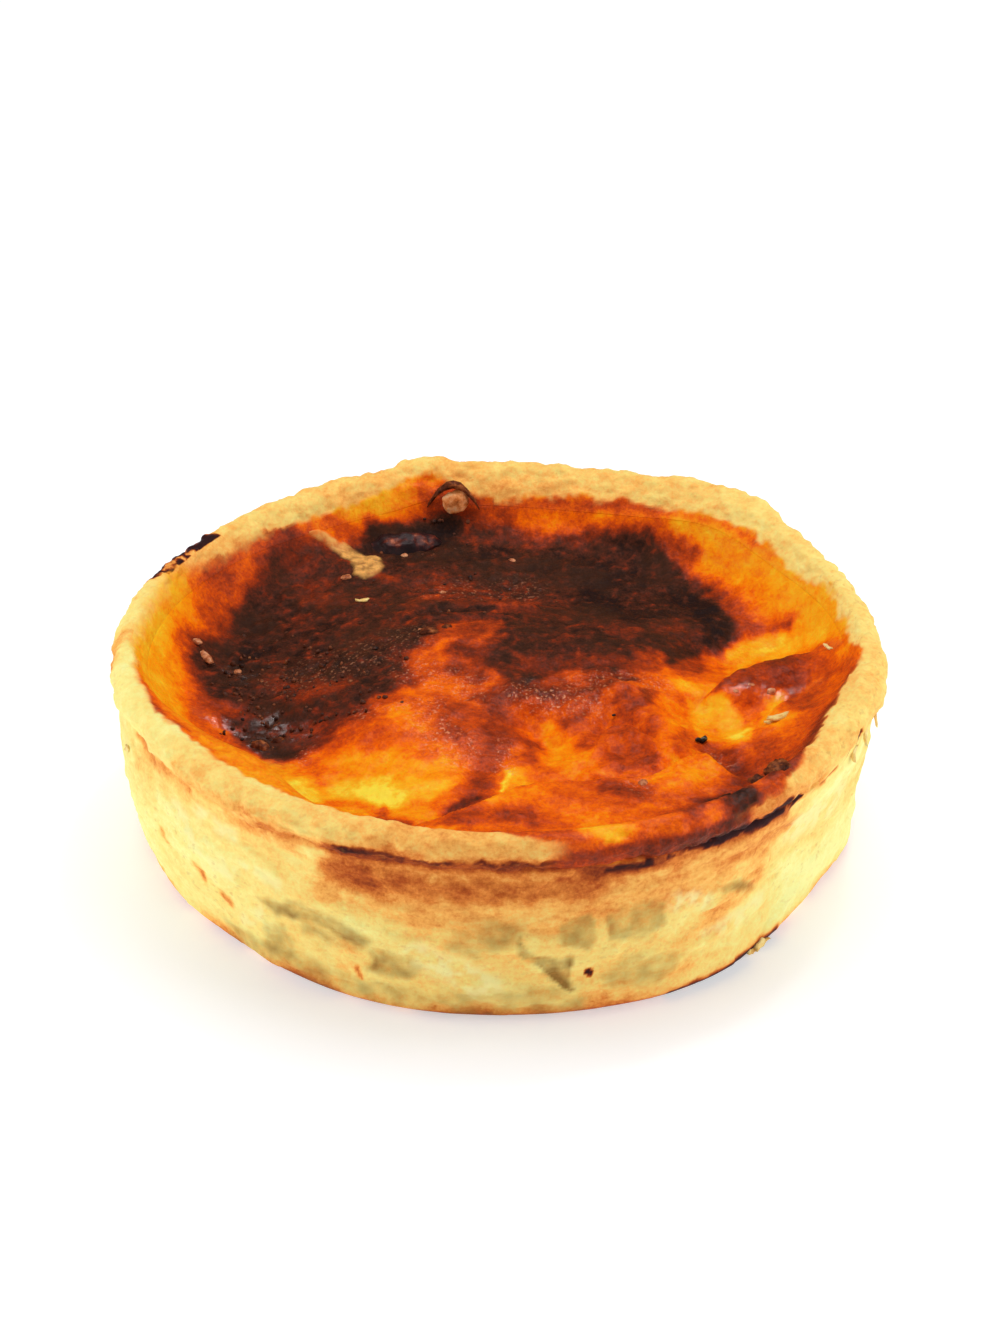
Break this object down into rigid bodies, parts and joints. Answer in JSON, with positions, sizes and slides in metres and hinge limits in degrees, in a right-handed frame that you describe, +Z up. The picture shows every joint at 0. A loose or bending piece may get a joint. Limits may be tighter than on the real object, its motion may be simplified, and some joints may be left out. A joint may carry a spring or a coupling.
{
  "type": "quiche lorraine",
  "caption": "Small round quiche lorraine: a deep pastry case with a rolled lip, filled with browned, unevenly set egg custard and bacon.",
  "frame": {"origin": "middle of the base, on the surface the quiche rests on", "axes": "+Z up through the open top, +X to the right and +Y to the back as seen from the front"},
  "size_m": [0.1099, 0.1078, 0.0323],
  "materials": {
    "crust": "baked shortcrust pastry, matt and slightly flaky",
    "custard": "browned egg custard skin, half glossy",
    "bacon": "fried bacon, dark and greasy"
  },
  "bodies": {
    "root": {"pastry_case": "crust", "egg_custard": "custard", "bacon_back_left": "bacon", "bacon_back": "bacon"}
  },
  "joints": []
}
